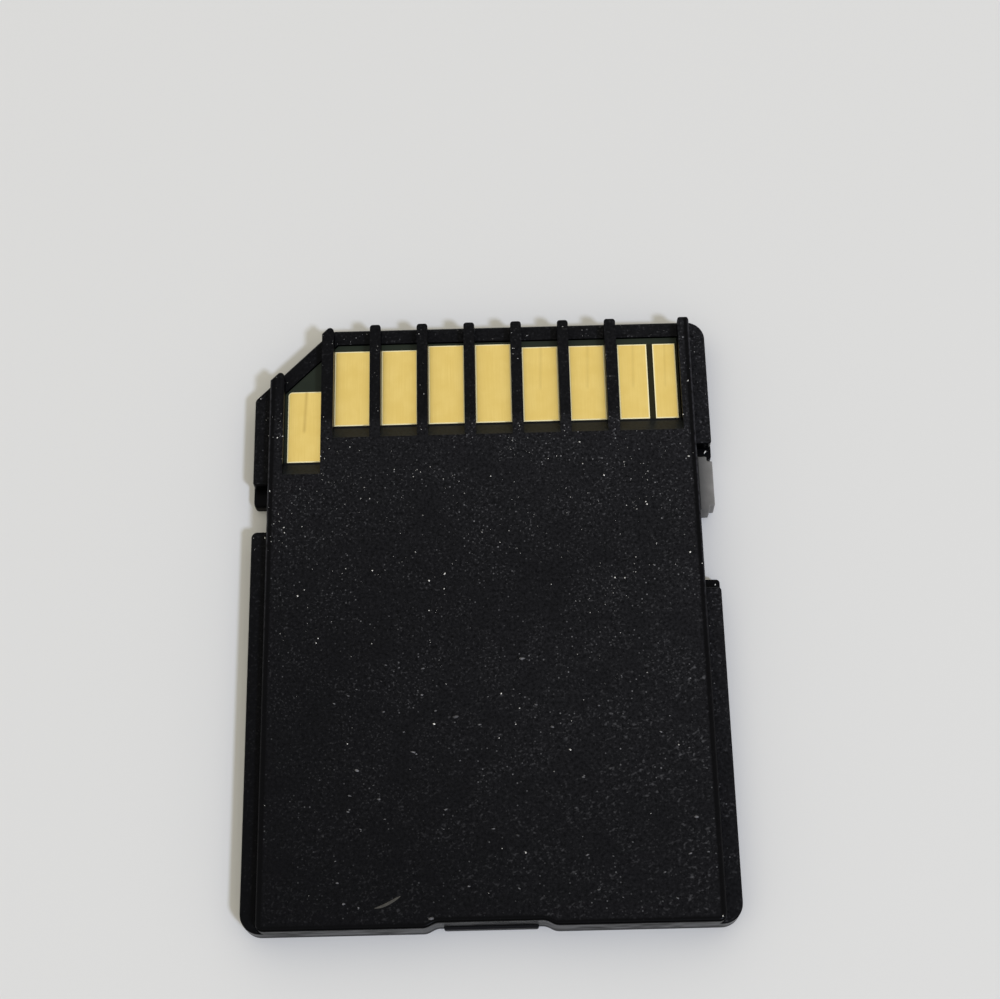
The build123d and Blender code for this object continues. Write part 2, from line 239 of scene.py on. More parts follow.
@dataclass(frozen=True)
class SparkErodedMoulding(Finish):
    """Black polycarbonate blend, moulded against a spark-eroded tool face.

    The eroded steel leaves a dry fine grain on the raised face, so it is a soft charcoal with pale points,
    painted glints where grain tips catch the light. Rails, ribs and the rim of the raised face come off
    smoother steel and look deeper; the low parts are also painted with shade that deepens towards the left,
    and the rim is painted darker for the shade of its rounding. Walls and roundings are nearly black, the
    ramps behind the windows are painted paler as their reflection, and the rear wall is faintly wavy.
    Handling leaves a film that is thicker towards the contacts and the lock, a rise that is partly painted
    light, and is pressed into small smears towards the rear right, and it rubs the long edges paler, partly
    as a painted highlight on their rounding. The grain is drawn at a sixth of a millimetre, coarser than it
    is, to show.
    """

    name: str = "black_polycarbonate_spark_eroded"
    deep_hex: str = "030304"
    grain_hex: str = "2A2A2D"
    spot_hex: str = "525255"
    smear_hex: str = "58585B"
    tip_glint_hex: str = "8A8A8D"
    ramp_reflection_hex: str = "1E2122"
    rub_and_highlight_hex: str = "36363B"
    grain: Pattern = Pattern(0.16 * MM, roughness=0.7)
    cloud: Pattern = Pattern(12.0 * MM, 3.0)
    cluster: Pattern = Pattern(2.6 * MM)
    patch: Pattern = Pattern(1.4 * MM)
    spot: Pattern = Pattern(0.13 * MM, 1.0)
    rub: Pattern = Pattern(0.3 * MM, 3.0)
    swell: Pattern = Pattern(2.5 * MM)
    tip_spacing: float = 0.24 * MM
    tip_contrast: float = 2.5
    smear_size: Span = (0.26 * MM, 0.2 * MM)
    smear_detail: float = 1.0
    smear_turn: float = np.radians(20.0)
    smear_slant: Point = (-0.9, 1.0, 0.0)
    film_and_light_slope: Point = (13.0, 18.0, 0.0)
    film_and_light_middle: float = 0.625
    comb_side: float = 10.5 * MM
    upward: Rise = (0.75, 0.95)
    raised: Rise = (2.0 * MM, 2.08 * MM)
    behind_comb: Rise = (10.6 * MM, 10.0 * MM)
    comb_share: Rise = (0.0, 1.0, 0.62, 0.48)
    low_share_and_shade: Rise = (-12.0 * MM, 12.0 * MM, 0.5, 0.9)
    recess_dip: Rise = (3.09 * MM, 2.6 * MM, 0.0, 0.25 * MM)
    rear_rim: Rise = (-15.7 * MM, -15.8 * MM)
    side_rim: Rise = (10.8 * MM, 10.9 * MM)
    rim_share_and_shade: Rise = (0.0, 1.0, 1.0, 0.05)
    film_patches: Rise = (0.3, 0.7, 0.85, 1.15)
    grain_peaks: Rise = (0.26, 0.74, 0.0, 0.74)
    tip_width: Rise = (0.2, 0.1)
    tip_crowd: Rise = (0.38, 0.62)
    spot_width: Rise = (0.585, 0.83)
    dusty: Rise = (0.36, 0.6)
    smear_reach: Rise = (0.0, -14.0 * MM)
    smear_width: Rise = (0.6, 0.8)
    spots_left: Rise = (0.0, 1.0, 1.0, 0.6)
    ramp_lean: Rise = (0.5, 0.6)
    ramp_stop: Rise = (0.74, 0.66)
    ramp_reflection_mottle: Rise = (0.3, 0.6, 0.4, 1.0)
    rub_edge: Rise = (10.98 * MM, 11.06 * MM)
    rub_turn: Rise = (0.97, 0.85)
    rub_height: Rise = (1.96 * MM, 2.06 * MM)
    rub_along: Rise = (-4.0 * MM, 4.0 * MM, 0.12, 1.0)
    rub_patches: Rise = (0.3, 0.75)
    rear_wall: Rise = (-0.5, -0.8)
    strength: float = 0.5
    relief: float = 0.007 * MM
    wave_relief: float = 0.4 * MM
    wall_to_face_roughness: Rise = (0.0, 1.0, 0.3, 0.6)
    specular: float = 0.055

    def inputs(self, add: AddNode, place: Socket, *noise: Socket) -> Inputs:
        """Lay grain, spots, smears and pale tips, the tips as painted glints, over black on what faces up,
        and rub the edges paler, partly as a painted highlight.

        Args:
            add: Adds a node.
            place: Place in metres.
            noise: Its patterns in order.

        Returns:
            The shader's inputs by name.
        """
        across, along, height = add("SeparateXYZ", (place,)).node.outputs
        turn = add("SeparateXYZ", (place.node.outputs["Normal"],)).node.outputs
        aside = add("Math", (across,), operation="ABSOLUTE")
        grain, cloud, cluster, patch, fine, rubbing, swell = noise

        # How much grain each surface took from the tool, with painted shade on the low parts deepening
        # towards the left and on the rim of the raised face
        upward, raised, behind, low_and_side_shade, dip, side_rim = [
            add("MapRange", (value, *rise)) for value, rise in (
                (turn["Z"], self.upward), (height, self.raised), (along, self.behind_comb),
                (across, self.low_share_and_shade), (aside, self.recess_dip), (aside, self.side_rim))]
        beside = add("Math", (aside, self.comb_side), operation="GREATER_THAN")
        clear = add("Math", (behind, beside), operation="MAXIMUM")
        comb = add("MapRange", (raised, *self.comb_share))
        sheltered = add("MapRange", (clear, 0.0, 1.0, comb))
        low = add("Math", (low_and_side_shade, sheltered), operation="MULTIPLY")
        face = add("Math", (raised, behind), operation="MULTIPLY")
        share = add("MapRange", (face, 0.0, 1.0, low))
        level = add("Math", (along, dip), operation="SUBTRACT")
        rear_rim = add("MapRange", (level, *self.rear_rim))
        rim = add("Math", (rear_rim, side_rim), operation="MAXIMUM")
        raised_rim = add("Math", (rim, raised), operation="MULTIPLY")
        # The rim keeps little grain: it is smoother, and its darker colour is painted shade from its
        # rounding
        smooth = add("MapRange", (raised_rim, *self.rim_share_and_shade))
        matt = add("Math", (upward, smooth), operation="MULTIPLY")
        grained = add("Math", (share, matt), operation="MULTIPLY")

        # How thick the film of handling is on it; its rise towards the contacts and the lock is partly
        # painted light
        slope = add("VectorMath", (place, self.film_and_light_slope), operation="DOT_PRODUCT")
        film = add("Math", (slope, self.film_and_light_middle), operation="ADD")
        patches = add("MapRange", (cloud, *self.film_patches))
        thick = add("Math", (film, patches), operation="MULTIPLY")
        filmed_and_lit = add("Math", (grained, thick), operation="MULTIPLY")

        # What shows in the film: dust spots and smears, and pale tips that are painted glints
        cells = add("TexVoronoi", {"Vector": place, "Scale": per_metre(self.tip_spacing)}).node.outputs
        chance = add("SeparateColor", (cells["Color"],))
        shine = add("Math", (chance, self.tip_contrast), operation="POWER")
        aslant = add("VectorMath", (place, self.smear_slant), operation="DOT_PRODUCT")
        drawn = add("Mapping", {
            "Vector": place, "Rotation": (0.0, 0.0, self.smear_turn), "Scale": (*self.smear_size, 1.0)},
            vector_type="TEXTURE")
        smudge = add("TexNoise", {"Vector": drawn, "Scale": 1.0, "Detail": self.smear_detail})
        peaks, tips, crowd, spots, dusty, rear, smears = [
            add("MapRange", (value, *rise)) for value, rise in (
                (grain, self.grain_peaks), (cells["Distance"], self.tip_width), (cluster, self.tip_crowd),
                (fine, self.spot_width), (patch, self.dusty), (aslant, self.smear_reach),
                (smudge, self.smear_width))]
        left = add("MapRange", (rear, *self.spots_left))

        # Painted reflection on the ramps behind the windows, rubbed long edges with a partly painted
        # highlight, and the wavy rear wall
        # The rub masks follow the rounding of the long edges, so their paler colour is partly wear and
        # partly a painted highlight
        leaning, stopped, reflection_mottle, edge, turned, lifted, handled, patchy, wall = [
            add("MapRange", (value, *rise)) for value, rise in (
                (turn["Y"], self.ramp_lean), (turn["Y"], self.ramp_stop), (grain, self.ramp_reflection_mottle),
                (aside, self.rub_edge), (turn["Z"], self.rub_turn), (height, self.rub_height),
                (along, self.rub_along), (rubbing, self.rub_patches), (turn["Y"], self.rear_wall))]

        colour = layered(add, self.deep_hex, (
            (self.grain_hex, (peaks, filmed_and_lit)),
            (self.spot_hex, (spots, dusty, left, filmed_and_lit)),
            (self.smear_hex, (smears, dusty, rear, filmed_and_lit)),
            (self.tip_glint_hex, (tips, shine, crowd, filmed_and_lit)),
            (self.ramp_reflection_hex, (leaning, stopped, reflection_mottle)),
            (self.rub_and_highlight_hex, (edge, turned, lifted, handled, patchy))))
        roughness = add("MapRange", (matt, *self.wall_to_face_roughness))
        waves = add("Math", (swell, wall), operation="MULTIPLY")
        wavy = add("Bump", {"Height": waves, "Distance": self.wave_relief})
        bumps = add("Math", (grain, grained), operation="MULTIPLY")
        return {"Base Color": colour, "Roughness": roughness, "Height": bumps, "Normal": wavy}


@dataclass(frozen=True)
class PolishedMoulding(Finish):
    """Black polycarbonate blend, moulded against polished steel.

    It is a deep black with a soft gloss, faintly clouded where the melt flowed, and shows the light as
    small highlights. Handling greys its rear lip. Its underside is matt, more so around the label recess,
    where sockets have drawn hair lines.
    """

    name: str = "black_polycarbonate_polished"
    deep_hex: str = "030304"
    soft_hex: str = "09090B"
    under_hex: str = "2A2A2C"
    hair_hex: str = "3C3C3F"
    film_hex: str = "1C1C1E"
    cloud: Pattern = Pattern(2.0 * MM, 3.0)
    ripple: Pattern = Pattern(0.35 * MM)
    under_grain: Pattern = Pattern(0.16 * MM)
    hair_size: Span = (0.06 * MM, 7.0 * MM)
    hair_detail: float = 2.0
    hairs: Rise = (0.6, 0.75)
    film_along: Rise = (-15.2 * MM, -15.4 * MM)
    upward: Rise = (0.5, 0.9)
    downward: Rise = (-0.5, -0.9)
    grain_peaks: Rise = (0.25, 0.75)
    frame_height: float = 0.03 * MM
    recess_share: float = 0.5
    strength: float = 0.4
    relief: float = 0.004 * MM
    cloud_gloss: Rise = (0.0, 1.0, 0.34, 0.48)
    under_dulling: float = 0.2
    specular: float = 0.05

    def inputs(self, add: AddNode, place: Socket, *noise: Socket) -> Inputs:
        """Cloud the black with a very faint ripple, grey the rear lip and dull the underside.

        Args:
            add: Adds a node.
            place: Place in metres.
            noise: Its patterns in order.

        Returns:
            The shader's inputs by name.
        """
        axes = add("SeparateXYZ", (place,)).node.outputs
        facing = add("SeparateXYZ", (place.node.outputs["Normal"],)).node.outputs["Z"]
        cloud, ripple, grain = noise
        stretch = (*map(per_metre, self.hair_size), 0.0)
        stretched = add("VectorMath", (place, stretch), operation="MULTIPLY")
        drawn = add("TexNoise", {"Vector": stretched, "Scale": 1.0, "Detail": self.hair_detail})
        rear, upward, under, peaks, gloss, hairs = [
            add("MapRange", (value, *rise)) for value, rise in (
                (axes["Y"], self.film_along), (facing, self.upward), (facing, self.downward),
                (grain, self.grain_peaks), (cloud, self.cloud_gloss), (drawn, self.hairs))]
        around = add("Math", (axes["Z"], self.frame_height), operation="LESS_THAN")
        share = add("MapRange", (around, 0.0, 1.0, self.recess_share))
        dull = add("Math", (under, share), operation="MULTIPLY")
        grained = add("Math", (peaks, dull), operation="MULTIPLY")
        colour = layered(add, self.deep_hex, (
            (self.soft_hex, (cloud,)),
            (self.under_hex, (grained,)),
            (self.hair_hex, (hairs, under, around)),
            (self.film_hex, (rear, upward))))
        bumps = add("Math", (ripple, grained), operation="ADD")
        roughness = add("Math", (dull, self.under_dulling, gloss), operation="MULTIPLY_ADD")
        return {"Base Color": colour, "Roughness": roughness, "Height": bumps}


@dataclass(frozen=True)
class GreyAcetal(Finish):
    """Grey acetal, moulded: a waxy mid grey with a fine even grain and a dull sheen, with painted shade in
    its slot.
    """

    name: str = "grey_acetal_moulded"
    dark_hex: str = "5E5D5B"
    light_hex: str = "8A8886"
    wall_shade_hex: str = "3A3A39"
    wall_shade_across: Rise = (11.95 * MM, 11.1 * MM)
    cloud: Pattern = Pattern(0.6 * MM, 4.0)
    grain: Pattern = Pattern(0.08 * MM)
    strength: float = 0.5
    relief: float = 0.006 * MM
    roughness: float = 0.5
    specular: float = 0.35

    def inputs(self, add: AddNode, place: Socket, *noise: Socket) -> Inputs:
        """Cloud the grey, grain it finely and paint shade on it towards the wall that it slides along.

        Args:
            add: Adds a node.
            place: Place in metres.
            noise: Its patterns in order.

        Returns:
            The shader's inputs by name.
        """
        cloud, grain = noise
        across = add("SeparateXYZ", (place,))
        # Painted shade, darker towards the wall that the slider slides along
        painted_wall_shade = add("MapRange", (across, *self.wall_shade_across))
        colour = layered(add, self.dark_hex, ((self.light_hex, (cloud,)), (self.wall_shade_hex, (painted_wall_shade,))))
        return {"Base Color": colour, "Height": grain}


@dataclass(frozen=True)
class GoldPlating(Finish):
    """Gold plated over nickel on copper, brushed by the springs of sockets.

    It is a flat satin yellow with hair lines along the card, a pale rim painted as a highlight where the
    plating turns over the pad's edge, and a darker wiped track on pads that were used most.
    """

    name: str = "gold_plated_contact"
    shade_hex: str = "EFD077"
    gold_hex: str = "F5D882"
    rim_highlight_hex: str = "FFF2BE"
    track_hex: str = "BC9C52"
    hair_size: Span = (0.05 * MM, 2.4 * MM)
    hair_detail: float = 3.0
    cloud: Pattern = Pattern(0.8 * MM)
    shading: Rise = (0.15, 0.4)
    rim_turn: Rise = (0.1, 0.5)
    rim_highlight_metal: Rise = (0.0, 1.0, 1.0, 0.15)
    track_path: Rise = (0.4, 1.0, 0.485, 0.535)
    track_start: Rise = (0.4, 0.45)
    track_width: Rise = (0.07, 0.0)
    strength: float = 0.15
    relief: float = 0.002 * MM
    hair_roughness: Rise = (0.0, 1.0, 0.31, 0.41)

    def inputs(self, add: AddNode, place: Socket, *noise: Socket) -> Inputs:
        """Draw hair lines in the gold, and the painted rim highlight and wiped track from the pad's rim,
        wear and pad_map.

        Args:
            add: Adds a node.
            place: Place in metres.
            noise: Its patterns in order.

        Returns:
            The shader's inputs by name.
        """
        stretch = (*map(per_metre, self.hair_size), 0.0)
        stretched = add("VectorMath", (place, stretch), operation="MULTIPLY")
        hairs = add("TexNoise", {"Vector": stretched, "Scale": 1.0, "Detail": self.hair_detail})
        shade = add("Math", (hairs, *noise), operation="MULTIPLY")
        turned, wear = [
            add("Attribute", attribute_name=name).node.outputs["Fac"] for name in ("rim", "wear")]
        pad = add("SeparateXYZ", (add("UVMap", uv_map="pad_map"),)).node.outputs
        shading, rim, path, begun, satin = [
            add("MapRange", (value, *rise)) for value, rise in (
                (shade, self.shading), (turned, self.rim_turn), (pad["Y"], self.track_path),
                (pad["Y"], self.track_start), (hairs, self.hair_roughness))]
        # Painted highlight: paler and less metallic where the plating turns over the pad's edge
        metal = add("MapRange", (rim, *self.rim_highlight_metal))
        aside = add("Math", (pad["X"], path), operation="SUBTRACT")
        off = add("Math", (aside,), operation="ABSOLUTE")
        line = add("MapRange", (off, *self.track_width))
        colour = layered(add, self.shade_hex, (
            (self.gold_hex, (shading,)),
            (self.rim_highlight_hex, (rim,)),
            (self.track_hex, (line, begun, wear))))
        return {"Base Color": colour, "Metallic": metal, "Roughness": satin, "Height": hairs}


@dataclass(frozen=True)
class SolderMask(Finish):
    """Glass-epoxy board under green solder mask: dark bottle green, glossy, with a faint glass weave.

    It is olive on the bridge beside contact 7. The weave is drawn three times as coarse as it is, to show.
    """

    name: str = "green_solder_mask"
    dark_hex: str = "171E16"
    light_hex: str = "272E22"
    bridge_hex: str = "201D06"
    shade_behind_hex: str = "050606"
    shade_behind_along: Rise = (10.42 * MM, 10.34 * MM)
    ninth_side: float = -8.0 * MM
    ninth_back: float = 2.03 * MM
    weave_spacing: float = 1.5708 * MM
    strength: float = 0.4
    relief: float = 0.004 * MM
    cloud: Pattern = Pattern(1.8 * MM, 3.0)
    roughness: float = 0.45
    specular: float = 0.15

    def inputs(self, add: AddNode, place: Socket, *noise: Socket) -> Inputs:
        """Cloud the green over a woven relief, olive on the bridge and black with painted shade behind the
        contacts.

        Args:
            add: Adds a node.
            place: Place in metres.
            noise: Its patterns in order.

        Returns:
            The shader's inputs by name.
        """
        axes = add("SeparateXYZ", (place,)).node.outputs
        # Painted shade: the board turns black just behind the contacts, and beside contact 9 only from
        # further back
        beside = add("Math", (axes["X"], self.ninth_side), operation="LESS_THAN")
        along = add("Math", (beside, self.ninth_back, axes["Y"]), operation="MULTIPLY_ADD")
        painted_shade_behind = add("MapRange", (along, *self.shade_behind_along))
        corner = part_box("contact_7")[1]
        right = add("Math", (axes["X"], corner.x), operation="GREATER_THAN")
        behind = add("Math", (axes["Y"], corner.y), operation="LESS_THAN")
        warp, weft = [
            add("TexWave", {"Vector": place, "Scale": WAVE_SPACING / self.weave_spacing},
                bands_direction=axis).node.outputs["Fac"] for axis in "XY"]
        weave = add("Math", (warp, weft), operation="MULTIPLY")
        colour = layered(add, self.dark_hex, (
            (self.light_hex, noise),
            (self.bridge_hex, (right, behind)),
            (self.shade_behind_hex, (painted_shade_behind,))))
        return {"Base Color": colour, "Height": weave}


@dataclass(frozen=True)
class TwoToneGrain(Finish):
    """Plain dull surface that changes between two colours with one fine pattern."""

    name: str
    dark_hex: str
    light_hex: str
    grain: Pattern
    change: Rise = (0.0, 1.0)
    roughness: float = 0.9

    def inputs(self, add: AddNode, place: Socket, *noise: Socket) -> Inputs:
        """Mix the two colours by the pattern, which is also the height.

        Args:
            add: Adds a node.
            place: Place in metres; not used.
            noise: Its patterns in order.

        Returns:
            The shader's inputs by name.
        """
        change = add("MapRange", (*noise, *self.change))
        colour = layered(add, self.dark_hex, ((self.light_hex, (change,)),))
        return {"Base Color": colour, "Height": noise[0]}


@dataclass(frozen=True)
class ChipEpoxy(TwoToneGrain):
    """Epoxy moulding compound filled with silica: a matt grey-black that sparkles very slightly."""

    name: str = "black_epoxy_moulding"
    dark_hex: str = "18181A"
    light_hex: str = "2A2A2C"
    grain: Pattern = Pattern(0.05 * MM, 3.0)
    strength: float = 0.4
    relief: float = 0.005 * MM
    roughness: float = 0.6


@dataclass(frozen=True)
class DryDust(TwoToneGrain):
    """Paper and skin dust: dry off-white flakes, rough, some of them greyer than others."""

    name: str = "dry_dust"
    dark_hex: str = "8C8B89"
    light_hex: str = "F2F1EE"
    grain: Pattern = Pattern(0.4 * MM, 0.0)
    change: Rise = (0.3, 0.7)


@dataclass(frozen=True)
class CottonFibre(TwoToneGrain):
    """Cotton lint: a dull grey-beige thread end, fuzzy enough to have no gloss."""

    name: str = "cotton_fibre"
    dark_hex: str = "2C2A27"
    light_hex: str = "4A4842"
    grain: Pattern = Pattern(0.12 * MM, 1.0)


@dataclass(frozen=True)
class EndCappedCeramic(Finish):
    """Fired ceramic between two tinned ends, as on chip capacitors and resistors.

    The body is dull and faintly speckled, and the ends are bright dipped tin.
    """

    name: str
    body_hex: str
    middle: float
    half_body: float
    tin_hex: str = "C9C7C2"
    specks: Pattern = Pattern(0.04 * MM)
    speck_roughness: Rise = (0.0, 1.0, 0.45, 0.65)

    def inputs(self, add: AddNode, place: Socket, *noise: Socket) -> Inputs:
        """Turn to tin where the surface lies further from the middle than the bare body does.

        Args:
            add: Adds a node.
            place: Place in metres.
            noise: Its patterns in order.

        Returns:
            The shader's inputs by name.
        """
        across = add("SeparateXYZ", (place,))
        aside = add("Math", (across, self.middle), operation="SUBTRACT")
        off = add("Math", (aside,), operation="ABSOLUTE")
        ends = add("Math", (off, self.half_body), operation="GREATER_THAN")
        dull = add("MapRange", (*noise, *self.speck_roughness))
        colour = layered(add, self.body_hex, ((self.tin_hex, (ends,)),))
        return {"Base Color": colour, "Metallic": ends, "Roughness": dull}


@dataclass(frozen=True)
class PaleCard(Finish):
    """Plain pale card under the object: an even warm white with no gloss."""

    name: str = "pale_card"
    hex_colour: str = "DCDCDB"
    roughness: float = 0.9
    specular: float = 0.2

    def inputs(self, add: AddNode, place: Socket, *noise: Socket) -> Inputs:
        """Give the one plain colour."""
        return {"Base Color": linear(self.hex_colour)}


def dress(node_name: str, material: bpy.types.Material) -> None:
    """Give a solid of the frame its finish.

    Args:
        node_name: Name of the node.
        material: Finish for all of its slots.
    """
    for slot in frame["nodes"][node_name].material_slots:
        slot.material = material
    log.info("%s: dressed in %s", node_name, material.name)


def grid_quads(rows: int, columns: int) -> np.ndarray:
    """Quads of a grid of points that is stored row by row.

    Args:
        rows: Points along the first parameter.
        columns: Points along the second parameter.

    Returns:
        One row of four point numbers for each quad.
    """
    corner = (np.arange(rows - 1)[:, None] * columns + np.arange(columns - 1)).ravel()
    return np.stack([corner, corner + 1, corner + columns + 1, corner + columns], 1)


def closed_sheet_quads(rows: int, columns: int) -> np.ndarray:
    """Quads of a solid between an upper sheet and a lower sheet with the same grid.

    The upper sheet keeps its order, the lower one is turned over, and four strips join their borders.

    Args:
        rows: Points of each sheet along the first parameter.
        columns: Points of each sheet along the second parameter.

    Returns:
        One row of four point numbers for each quad, with the lower sheet's points after the upper one's.
    """
    sheet = grid_quads(rows, columns)
    number = np.arange(rows * columns).reshape(rows, columns)
    border = np.concatenate([number[0, :-1], number[:-1, -1], number[-1, :0:-1], number[:0:-1, 0]])
    following = np.roll(border, -1)
    below = rows * columns
    wall = np.stack([following, border, border + below, following + below], 1)
    return np.concatenate([sheet, sheet[:, ::-1] + below, wall])


def tube_faces(rings: int, sides: int) -> list[list[int]]:
    """Faces of a closed tube that is stored ring by ring: quads all round and one flat face at each end.

    Args:
        rings: Number of rings along the tube.
        sides: Points in each ring.

    Returns:
        Point numbers of each face.
    """
    ring = np.arange(rings - 1)[:, None] * sides
    first = np.arange(sides)
    here = ring + first
    after = ring + np.roll(first, -1)
    quads = np.stack([here, after, after + sides, here + sides], 2).reshape(-1, 4)
    return [*quads.tolist(), first[::-1].tolist(), (first + (rings - 1) * sides).tolist()]


def add_object(name: str, data: bpy.types.ID) -> bpy.types.Object:
    """Put a new object with this mesh, lamp or lens into the scene.

    Args:
        name: Name of the object.
        data: What it holds.

    Returns:
        The new object, at the origin.
    """
    thing = bpy.data.objects.new(name, data)
    bpy.context.scene.collection.objects.link(thing)
    return thing


def add_piece(name: str, points: np.ndarray, faces: list[list[int]], material: bpy.types.Material,
              body: str) -> bpy.types.Object:
    """Make a smooth mesh object at the origin that rides on a body of the frame.

    Args:
        name: Name of the piece.
        points: Places of its points in metres, one row each.
        faces: Point numbers of each of its faces.
        material: Its finish.
        body: Body that it rides on.

    Returns:
        The new object.
    """
    mesh = bpy.data.meshes.new(name)
    mesh.from_pydata(points, [], faces)
    mesh.polygons.foreach_set("use_smooth", np.ones(len(faces), bool))
    mesh.materials.append(material)
    piece = add_object(name, mesh)
    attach(piece, body)
    log.info("%s: %d points, %d faces", name, len(points), len(faces))
    return piece


class Wear(Enum):
    """How far the springs of sockets have wiped a contact."""

    CLEAN = 0.0
    FAINT = 0.2
    MARKED = 0.5


@dataclass
class ContactRow:
    """The nine gold contacts in their windows."""

    count: int = 9
    rounded: int = 9
    rim: float = 0.08 * MM
    rim_drop: float = 0.008 * MM
    corner_round: float = 0.22 * MM
    corner_steps: int = 8
    inner_steps: int = 12
    wear: dict[int, Wear] = field(default_factory=lambda: {
        5: Wear.FAINT, 6: Wear.FAINT, 7: Wear.FAINT, 8: Wear.FAINT, 9: Wear.MARKED})

    def steps(self, length: float) -> np.ndarray:
        """Places along a side: close together over the rims and the rounded corner, even between them.

        Args:
            length: Length of the side.

        Returns:
            Rising places from 0 to the length.
        """
        near = self.corner_round * (1.0 - np.cos(np.linspace(0.0, np.pi / 2, self.corner_steps + 1)))
        inner = np.linspace(self.corner_round, length - self.corner_round, self.inner_steps + 1)
        return np.concatenate([near[:-1], inner, length - near[-2::-1]])

    def build(self, number: int, material: bpy.types.Material) -> None:
        """Make one contact in place of its plain solid.

        A flat plate on a grid of places across and along it. Its height is the solid's, less a quarter
        ellipse that falls by rim_drop over the last rim width before each edge. On the rounded contact the
        left edge moves in along a quarter circle over the last corner_round before the front.

        Args:
            number: Number of the contact.
            material: Gold finish.
        """
        node = f"contact_{number}"
        low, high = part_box(node)
        width, length = high.x - low.x, high.y - low.y
        across, along = np.meshgrid(self.steps(width), self.steps(length))
        round_off = self.corner_round if number == self.rounded else 0.0
        into = np.maximum(0.0, round_off - (length - along))
        shift = round_off - np.sqrt(round_off**2 - into**2)
        room = (width - shift) / width
        edge = np.minimum.reduce([across * room, (width - across) * room, along, length - along])
        turn = 1.0 - np.clip(edge / self.rim, 0.0, 1.0)
        x = low.x + shift + across * room
        y = low.y + along
        upper = np.stack([x, y, high.z - self.rim_drop * (1.0 - np.sqrt(1.0 - turn**2))], 2).reshape(-1, 3)
        lower = np.stack([x, y, np.full_like(x, low.z)], 2).reshape(-1, 3)
        pad = add_piece(f"gold_contact_{number}", np.concatenate([upper, lower]),
                        closed_sheet_quads(*across.shape).tolist(), material, "card")
        self.mark(pad, np.tile(turn.ravel(), 2), self.wear.get(number, Wear.CLEAN),
                  np.tile(np.stack([(x - low.x) / width, along / length], 2).reshape(-1, 2), (2, 1)))
        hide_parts(node)

    def mark(self, pad: bpy.types.Object, rim: np.ndarray, wear: Wear, places: np.ndarray) -> None:
        """Store what the gold finish reads: rim and wear for each point, and the map of the pad.

        Args:
            pad: The contact.
            rim: How far each point has turned over the edge, from 0 to 1.
            wear: How far the contact is wiped.
            places: Place of each point across and along the pad, from 0 to 1.
        """
        mesh = pad.data
        for name, values in (("rim", rim), ("wear", np.full(len(rim), wear.value))):
            mesh.attributes.new(name, "FLOAT", "POINT").data.foreach_set("value", values)
        corners = np.empty(len(mesh.loops), np.int32)
        mesh.loops.foreach_get("vertex_index", corners)
        mesh.uv_layers.new(name="pad_map").data.foreach_set("uv", places[corners].ravel())

    def dress(self, gold: Finish) -> None:
        """Make all the contacts.

        Args:
            gold: Finish of the contacts.
        """
        material = gold.material()
        for number in range(1, self.count + 1):
            self.build(number, material)


@dataclass
class Shells:
    """The two moulded covers."""

    back: Finish = SparkErodedMoulding()
    front: Finish = PolishedMoulding()

    def dress(self) -> None:
        """Dress both covers."""
        dress("back_cover", self.back.material())
        dress("front_cover", self.front.material())


@dataclass
class Board:
    """The circuit board with what is soldered to it, inside the covers."""

    mask: Finish = SolderMask()
    epoxy: Finish = ChipEpoxy()
    end_length: float = 0.15 * MM
    part_count: int = 4
    ceramics: dict[str, str] = field(default_factory=lambda: {"capacitor": "8F7358", "resistor": "1B1B1D"})

    def dress(self) -> None:
        """Dress the board, its two chips and its small parts."""
        dress("circuit_board", self.mask.material())
        epoxy = self.epoxy.material()
        for chip in ("memory_chip", "controller_chip"):
            dress(chip, epoxy)
        for kind, body_hex in self.ceramics.items():
            low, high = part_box(f"{kind}_1")
            middle = (low.x + high.x) / 2
            half_body = (high.x - low.x) / 2 - self.end_length
            ceramic = EndCappedCeramic(f"{kind}_ceramic", body_hex, middle, half_body).material()
            for number in range(1, self.part_count + 1):
                dress(f"{kind}_{number}", ceramic)


@dataclass
class LockSlider:
    """The write-protect slider in the right rail."""

    plastic: Finish = GreyAcetal()

    def dress(self) -> None:
        """Dress the slider."""
        dress("lock_slider", self.plastic.material())


